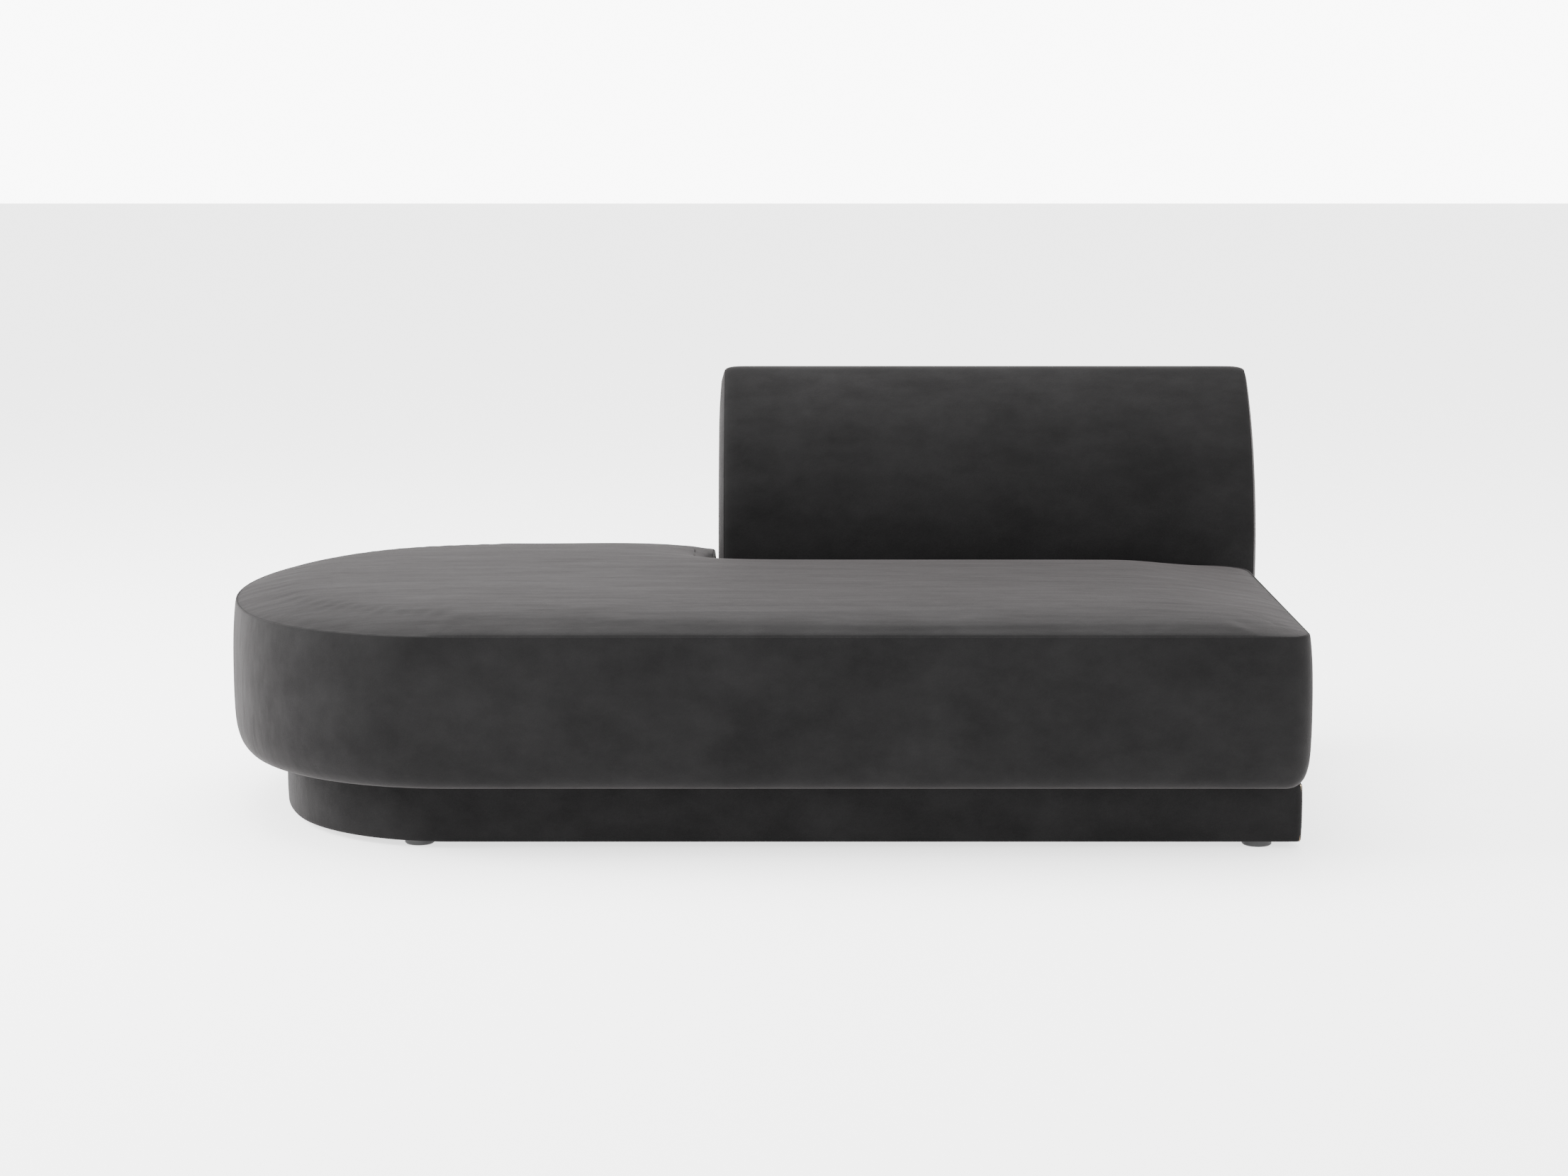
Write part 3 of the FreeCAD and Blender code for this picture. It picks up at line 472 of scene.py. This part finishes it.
# %% [markdown]
# ## The plinth's cover
#
# The plinth is a low drum under the seat.  Its velvet is pulled tight over boards, so the faces are
# nearly flat and only the top and bottom edges are rounded.

# %% The plinth cover
PLINTH_INSET = plinth_low[0] - LEFT
PLINTH_RIGHT = RIGHT - plinth_high[0]
PLINTH_CORNER = 10 * MM
PLINTH_SLACK = 0.8 * MM
PLINTH_LEVELS = (0.045, 0.060, 0.075)
plinth_foot, plinth_lid = plinth_low[2] - PLINTH_SLACK, plinth_high[2] + PLINTH_SLACK
plinth_knots = np.array([
    (22 * MM, plinth_foot), (9 * MM, plinth_foot), (3 * MM, plinth_foot + 0.3 * MM),
    (0.7 * MM, plinth_foot + 1.2 * MM), (-0.2 * MM, plinth_foot + 4 * MM),
    (-0.6 * MM, plinth_foot + 12 * MM), (-1.2 * MM, PLINTH_LEVELS[0]),
    (-1.2 * MM, PLINTH_LEVELS[2]), (-0.6 * MM, plinth_lid - 12 * MM),
    (-0.2 * MM, plinth_lid - 4 * MM),
    (0.7 * MM, plinth_lid - 1.2 * MM), (3 * MM, plinth_lid - 0.3 * MM), (9 * MM, plinth_lid),
    (30 * MM, plinth_lid), (34 * MM, plinth_lid - 8 * MM), (26 * MM, PLINTH_LEVELS[1]),
])
plinth_section = smooth_section(plinth_knots, 3)
plinth_band = carried_section(
    "plinth_velvet", plinth_section + np.array((PLINTH_INSET, 0)),
    plinth_section[:, 0] + PLINTH_RIGHT, [PLINTH_INSET + PLINTH_CORNER] * 4, PITCH, False)

# %% [markdown]
# ## The backrest
#
# From the side the backrest is a quarter of a drum: an upright front that bends back in one large
# arc to a small round corner at the top, and a flat rear.  The velvet that wraps it is that profile
# carried from one end to the other.  At each end it dips into the seam that joins the end panel.

# %% The backrest profile
ARC_RADIUS = 460 * MM
CORNER_RADIUS = 30 * MM
BASE_RADIUS = 14 * MM
ARC_LENGTH = ARC_RADIUS * 1.3
TOP_CORNER_STEPS, BASE_CORNER_STEPS = 14, 8
reach = ARC_RADIUS - CORNER_RADIUS
arc_centre = BACK_FRONT + ARC_RADIUS
across = arc_centre - (BACK_REAR - CORNER_RADIUS)
rise = math.sqrt(reach ** 2 - across ** 2)
arc_height = BACK_TOP - CORNER_RADIUS - rise


def profile_rows(insets, pitch):
    """The backrest's profile moved inwards, one row for each inset, from the bottom of the front
    over the top and down the rear, and back along the base.  An inset has to stay under half the
    backrest's depth: past that the front and the rear cross, and the top corner has no solution."""
    d = np.asarray(insets, float)[:, None]
    front, rear, base = BACK_FRONT + d, BACK_REAR - d, BACK_BASE + d
    big, small = ARC_RADIUS - d, np.maximum(CORNER_RADIUS - d, LEAST_RADIUS)
    soft = np.maximum(BASE_RADIUS - d, LEAST_RADIUS)
    corner_y, corner_z = rear - small, arc_height + np.sqrt(
        (big - small) ** 2 - (arc_centre - (rear - small)) ** 2)
    turn = np.arctan2(corner_z - arc_height, corner_y - arc_centre)
    pieces = [
        bend((front + soft, base + soft), soft, 3 * QUARTER, 2 * QUARTER, BASE_CORNER_STEPS),
        run((front, base + soft), (front, arc_height + 0 * d),
            steps(arc_height - BACK_BASE, pitch)),
        bend((arc_centre, arc_height), big, math.pi, turn, steps(ARC_LENGTH, pitch)),
        bend((corner_y, corner_z), small, turn, 0 * d, TOP_CORNER_STEPS),
        run((rear, corner_z), (rear, base + soft), steps(BACK_TOP - BACK_BASE, pitch)),
        bend((rear - soft, base + soft), soft, 0, -QUARTER, BASE_CORNER_STEPS),
        run((rear - soft, base), (front + soft, base), steps(BACK_REAR - BACK_FRONT, pitch)),
    ]
    return joined(pieces, len(d), 0), joined(pieces, len(d), 1)


def close_in(y, z, centre, shares):
    """Rows that shrink a loop onto a point: the point plus a falling share of the way out."""
    left = (1 - np.asarray(shares))[:, None]
    return centre[0] + (y - centre[0]) * left, centre[1] + (z - centre[1]) * left


WRAP_MIDDLE = (0.12, 0.22)


def loft_along_x(name, stations, insets, pitch):
    """The profile at a list of places along X, each with its own inset, with closed ends."""
    y, z = profile_rows(insets, pitch)
    x = np.broadcast_to(np.asarray(stations, float)[:, None], y.shape)
    middle = (BACK_REAR - WRAP_MIDDLE[0], BACK_BASE + WRAP_MIDDLE[1])
    shares = np.array([0.25, 0.5, 0.75, 1.0])
    head_y, head_z = close_in(y[0], z[0], middle, shares[::-1])
    tail_y, tail_z = close_in(y[-1], z[-1], middle, shares)
    rows_y = np.vstack([head_y, y, tail_y])
    rows_z = np.vstack([head_z, z, tail_z])
    rows_x = np.vstack([np.broadcast_to(x[:1], head_y.shape), x,
                        np.broadcast_to(x[-1:], tail_y.shape)])
    points = np.stack([rows_x, rows_y, rows_z], axis=-1)
    return make_piece(name, points.reshape(-1, 3), grid_faces(*rows_y.shape, True, False))


# %% The wrapped panel
BACK_SEAM_LEFT, BACK_SEAM_RIGHT = left_pad_high[0], right_pad_low[0]
SEAM_DIP, DIP_REACH = 6 * MM, 9 * MM
FOLD_DIP, FOLD_REACH = 1.6 * MM, 0.7 * MM
FLAT_FROM_SEAM = 0.055
FLAT_STATIONS = 90
edge_steps = np.array([0, 0.6, 1.4, 2.6, 4.4, 7, 11, 17, 26, 40]) * MM
edge_insets = (SEAM_DIP * np.exp(-edge_steps / DIP_REACH)
               + FOLD_DIP * np.exp(-edge_steps / FOLD_REACH))
flat_steps = np.linspace(BACK_SEAM_LEFT + FLAT_FROM_SEAM, BACK_SEAM_RIGHT - FLAT_FROM_SEAM,
                         FLAT_STATIONS)
stations = np.concatenate([BACK_SEAM_LEFT + edge_steps, flat_steps,
                           BACK_SEAM_RIGHT - edge_steps[::-1]])
insets = np.concatenate([edge_insets, np.zeros(FLAT_STATIONS), edge_insets[::-1]])
back_wrap = loft_along_x("back_wrap_panel", stations, insets, PITCH)


# %% The end panels
SEAM_CLEARANCE = 0.4 * MM
PAD_SWELL = BACK_SEAM_LEFT - BACK_LEFT - SEAM_CLEARANCE
FULL_DEPTH, SWELL_EASE = 0.076, 2.5
PAD_MIDDLE = (0.135, 0.24)
PAD_TUCK, PAD_SINK = 3 * MM, 2.0 * MM
CLOSING_ROWS = 9


def end_panel(name, seam_x, outwards):
    """A padded end: from the seam it swells outwards, fastest near the seam, and is fullest a
    hand's breadth in.  Known fault: the last depth, with the seam's dip, is over half the
    backrest's depth, so that row has no solution and leaves a hole in the panel."""
    depth = np.array([0, 0.6, 1.6, 3.2, 6, 10, 16, 24, 34, 46, 60, 76, 94, 114]) * MM
    swell = PAD_SWELL * (1 - (1 - np.clip(depth / FULL_DEPTH, 0, 1)) ** SWELL_EASE)
    y, z = profile_rows(SEAM_DIP + depth, PITCH)
    x = seam_x + outwards * (SEAM_CLEARANCE + np.broadcast_to(swell[:, None], y.shape))
    middle = (BACK_REAR - PAD_MIDDLE[0], BACK_BASE + PAD_MIDDLE[1])
    shares = np.linspace(0, 1, CLOSING_ROWS)[1:]
    fill_y, fill_z = close_in(y[-1], z[-1], middle, shares)
    seam_y, seam_z = profile_rows([SEAM_DIP + PAD_TUCK], PITCH)
    under_y, under_z = close_in(seam_y[0], seam_z[0], middle, 1 - shares)
    back_x = np.full(under_y.shape, seam_x - outwards * PAD_SINK)
    rows = [np.vstack(part) for part in (
        (back_x, x, np.broadcast_to(x[-1:], fill_y.shape)), (under_y, y, fill_y),
        (under_z, z, fill_z))]
    grid = np.stack(rows, axis=-1)
    return make_piece(name, grid.reshape(-1, 3), grid_faces(*grid.shape[:2], True, False))


left_end = end_panel("back_left_end", BACK_SEAM_LEFT, -1)
right_end = end_panel("back_right_end", BACK_SEAM_RIGHT, 1)

# %% [markdown]
# ## Shader maths in plain expressions
#
# A node material is a formula drawn as boxes and wires.  This small class lets the formula be
# written as one: a wrapped output can be added, multiplied or compared, and each sign adds the Math
# node that it stands for.

# %% A wrapper for shader sockets
class Signal:
    """An output of a node, with the arithmetic signs that make Math nodes."""

    def __init__(self, tree, socket):
        self.tree, self.socket = tree, socket

    def combine(self, operation, *items):
        """A Math node fed with the items in their order, each a wrapped output or a number."""
        node = self.tree.nodes.new("ShaderNodeMath")
        node.operation = operation
        for slot, item in zip(node.inputs, items):
            if isinstance(item, Signal):
                self.tree.links.new(item.socket, slot)
            else:
                slot.default_value = item
        return Signal(self.tree, node.outputs[0])

    def math(self, operation, *others):
        return self.combine(operation, self, *others)

    def held(self):
        """The same output kept between 0 and 1."""
        return self.math("MINIMUM", 1.0).math("MAXIMUM", 0.0)

    def __add__(self, other):
        return self.math("ADD", other)

    def __sub__(self, other):
        return self.math("SUBTRACT", other)

    def __mul__(self, other):
        return self.math("MULTIPLY", other)

    def __radd__(self, other):
        return self.math("ADD", other)

    def __rmul__(self, other):
        return self.math("MULTIPLY", other)

    def __rsub__(self, other):
        return self.combine("SUBTRACT", other, self)


class Finish:
    """A node material with a Principled shader and a short way to add nodes."""

    def __init__(self, name):
        self.material = bpy.data.materials.new(name)
        self.material.use_nodes = True
        self.tree = self.material.node_tree
        self.shader = self.tree.nodes["Principled BSDF"]

    def node(self, kind, settings=None, output=0, **inputs):
        """Adds a node, makes its settings, then fills or links its inputs by name."""
        made = self.tree.nodes.new(kind)
        for key, value in (settings or {}).items():
            setattr(made, key, value)
        for key, value in inputs.items():
            self.feed(made.inputs[key.replace("_", " ")], value)
        return Signal(self.tree, made.outputs[output])

    def feed(self, slot, value):
        if isinstance(value, Signal):
            self.tree.links.new(value.socket, slot)
        else:
            slot.default_value = value

    def set(self, **inputs):
        for key, value in inputs.items():
            self.feed(self.shader.inputs[key.replace("_", " ")], value)

    def place(self, scale=(1, 1, 1)):
        """Object coordinates, stretched."""
        spot = self.node("ShaderNodeTexCoord", output=3)
        return self.node("ShaderNodeMapping", Vector=spot, Scale=scale)

    def noise(self, vector, scale, detail=3.0, roughness=0.5):
        return self.node("ShaderNodeTexNoise", {"noise_dimensions": "3D"}, Vector=vector,
                         Scale=scale, Detail=detail, Roughness=roughness)

    def shade(self, factor, dark, light):
        """A colour that runs from dark to light as the factor goes from 0 to 1."""
        made = self.tree.nodes.new("ShaderNodeMix")
        made.data_type = "RGBA"
        self.feed(made.inputs["Factor"], factor)
        made.inputs["A"].default_value = (*dark, 1)
        made.inputs["B"].default_value = (*light, 1)
        return Signal(self.tree, made.outputs["Result"])

    def bump(self, height, strength, distance):
        return self.node("ShaderNodeBump", Strength=strength, Distance=distance, Height=height)


# %% [markdown]
# ## Velvet
#
# Velvet is dark where you look straight into its pile and pale where you look along it, because the
# sides of the standing threads catch the light.  The Sheen of the Principled shader is that pale
# veil.  The nap lies a little differently wherever it has been brushed, which makes soft patches,
# and the pile itself is a fine grain.

# %% The velvet
def velvet(name, dark, light, sheen):
    finish = Finish(name)
    spot = finish.place()
    drift = finish.noise(spot, 3.2, 3.0, 0.55)
    patch = finish.noise(finish.place((1.0, 2.2, 1.6)), 7.5, 4.0, 0.6)
    mottle = finish.noise(spot, 34.0, 3.0, 0.6)
    grain = finish.noise(spot, 620.0, 2.0, 0.7)
    crease = finish.noise(finish.place((0.5, 2.6, 1.0)), 11.0, 2.0, 0.4)
    nap = ((patch * 0.55 + drift * 0.30 + mottle * 0.15 - 0.36) * 3.2).held()
    finish.set(Base_Color=finish.shade(nap * 0.75 + grain * 0.25, dark, light),
               Roughness=0.86 - nap * 0.10, Specular_IOR_Level=0.14,
               Sheen_Weight=sheen, Sheen_Roughness=0.42, Sheen_Tint=(0.88, 0.80, 0.80, 1))
    height = grain * 0.0004 + mottle * 0.0006 + crease * 0.0022
    finish.set(Normal=finish.bump(height, 0.8, 1.0))
    return finish.material


charcoal = velvet("charcoal_velvet", (0.0016, 0.0015, 0.0016), (0.0062, 0.0059, 0.0061), 0.065)


# %% [markdown]
# ## The finishes inside
#
# The frame, the foam and the fittings are hidden once the cover is on, but each still gets a finish
# of its own, so that the piece also looks right when it is taken apart.

# %% Wood, foam, cloth, steel and plastic
def grained(name, dark, light, rough, stretch, scale, bump, metallic=0.0):
    """A stretched noise between two colours, with the same noise as a slight relief."""
    finish = Finish(name)
    fibre = finish.noise(finish.place(stretch), scale, 4.0, 0.6)
    fine = finish.noise(finish.place(), scale * 6, 2.0, 0.5)
    blend = ((fibre * 0.8 + fine * 0.2 - 0.3) * 2.4).held()
    finish.set(Base_Color=finish.shade(blend, dark, light), Roughness=rough + blend * 0.12,
               Metallic=metallic, Normal=finish.bump(fibre * 0.6 + fine * 0.4, 0.3, bump))
    return finish.material


FINISH_TABLE = (
    # slot, name, dark colour, light colour,
    # roughness, stretch, scale, relief, metallic
    ("softwood", "pine_board", (0.42, 0.25, 0.11), (0.68, 0.49, 0.28),
     0.55, (1, 9, 9), 14, 0.0008, 0.0),
    ("plywood", "birch_plywood", (0.52, 0.37, 0.20), (0.74, 0.60, 0.40),
     0.5, (2, 2, 30), 9, 0.0006, 0.0),
    ("hardboard", "brown_hardboard", (0.13, 0.07, 0.035), (0.24, 0.14, 0.08),
     0.6, (1, 1, 1), 60, 0.0005, 0.0),
    ("foam", "cream_foam", (0.66, 0.60, 0.42), (0.82, 0.77, 0.60),
     0.9, (1, 1, 1), 240, 0.002, 0.0),
    ("wadding", "white_wadding", (0.74, 0.74, 0.72), (0.90, 0.90, 0.88),
     0.95, (1, 1, 3), 70, 0.003, 0.0),
    ("webbing", "elastic_webbing", (0.02, 0.02, 0.022), (0.09, 0.09, 0.10),
     0.8, (1, 30, 1), 40, 0.0012, 0.0),
    ("dust_cloth", "black_spunbond", (0.008, 0.008, 0.009), (0.03, 0.03, 0.032),
     0.85, (1, 1, 1), 300, 0.0008, 0.0),
    ("zinc_steel", "zinc_plated_steel", (0.42, 0.42, 0.40), (0.66, 0.66, 0.64),
     0.30, (1, 1, 1), 90, 0.0002, 1.0),
    ("glide_plastic", "black_glide_plastic", (0.006, 0.006, 0.0065), (0.014, 0.014, 0.015),
     0.42, (1, 1, 1), 260, 0.0003, 0.0),
)
finishes = {slot: grained(*settings) for slot, *settings in FINISH_TABLE}
finishes["velvet"] = charcoal

for entry in frame["record"]["subparts"]:
    part = frame["nodes"][entry["node"]]
    part.data.materials.clear()
    part.data.materials.append(finishes[entry["material_slot"]])

# %% [markdown]
# ## Joining the pieces to the frame
#
# Each padded piece hides the plain solids that it stands for, takes the velvet and moves with the
# body that its solids belong to.

# %% Riding and replacing
upholstery = {
    seat_panel: ("base", ("seat_cover_top", "seat_topper", "seat_foam_block")),
    seat_band: ("base", ("seat_cover_band", "seat_edge_padding")),
    plinth_band: ("base", ("plinth_cover",)),
    back_wrap: ("backrest", ("back_cover_wrap", "back_foam")),
    left_end: ("backrest", ("back_end_panel_left",)),
    right_end: ("backrest", ("back_end_panel_right",)),
}
for piece, (body, solids) in upholstery.items():
    piece.data.materials.append(charcoal)
    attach(piece, body)
    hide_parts(*solids)

# %% [markdown]
# ## The studio
#
# A pale floor under a pale background, a broad soft light from the left, another from above and
# behind, and a weak one from the front right.  The background is brighter to the camera than it is
# as a light, so that it looks white without washing out the velvet.

# %% Floor, lights and world
FLOOR_HALF = 30
SKY_LIGHT, SKY_SEEN = 2.4, 7.0
LIGHT_TARGET = (0, 0, 0.3)


def area_light(name, place, width, height, power):
    lamp = bpy.data.lights.new(name, "AREA")
    lamp.shape = "RECTANGLE"
    lamp.size, lamp.size_y, lamp.energy = width, height, power
    light = bpy.data.objects.new(name, lamp)
    bpy.context.scene.collection.objects.link(light)
    light.location = place
    towards = Vector(LIGHT_TARGET) - Vector(place)
    light.rotation_euler = towards.to_track_quat("-Z", "Y").to_euler()
    return light


floor_mesh = bpy.data.meshes.new("studio_floor")
floor_corners = [(-FLOOR_HALF, -FLOOR_HALF, 0), (FLOOR_HALF, -FLOOR_HALF, 0),
                 (FLOOR_HALF, FLOOR_HALF, 0), (-FLOOR_HALF, FLOOR_HALF, 0)]
floor_mesh.from_pydata(floor_corners, [], [(0, 1, 2, 3)])
studio_floor = bpy.data.objects.new("studio_floor", floor_mesh)
bpy.context.scene.collection.objects.link(studio_floor)
paper = Finish("floor_paper")
paper.set(Base_Color=(0.92, 0.92, 0.92, 1), Roughness=0.9, Emission_Color=(1, 1, 1, 1),
          Emission_Strength=1.7)
floor_mesh.materials.append(paper.material)

area_light("window_left", (-4.5, -0.4, 2.5), 2.4, 2.4, 520)
area_light("sky_panel", (-0.4, 1.2, 4.2), 4.0, 3.0, 290)
area_light("fill_right", (3.6, -4.0, 2.4), 3.0, 2.0, 30)

world = bpy.data.worlds.new("studio")
world.use_nodes = True
sky = world.node_tree
backdrop = sky.nodes["Background"]
backdrop.inputs["Color"].default_value = (1, 1, 1, 1)
seen = Signal(sky, sky.nodes.new("ShaderNodeLightPath").outputs["Is Camera Ray"])
sky.links.new((seen * SKY_SEEN + SKY_LIGHT).socket, backdrop.inputs["Strength"])
bpy.context.scene.world = world

# %% [markdown]
# ## The camera
#
# A long lens about five metres in front, at a height of 1.27 m and looking slightly down.

# %% Camera
LENS, SENSOR = 71.88, 36.0
CAMERA_X, CAMERA_AHEAD, CAMERA_HEIGHT = 0.0421, 5.0785, 1.2707
CAMERA_PITCH = 9.047
camera_data = bpy.data.cameras.new("camera")
camera_data.lens, camera_data.sensor_width = LENS, SENSOR
camera = bpy.data.objects.new("camera", camera_data)
camera.location = (CAMERA_X, FRONT - CAMERA_AHEAD, CAMERA_HEIGHT)
camera.rotation_euler = (math.radians(90 - CAMERA_PITCH), 0, 0)
bpy.context.scene.collection.objects.link(camera)
bpy.context.scene.camera = camera
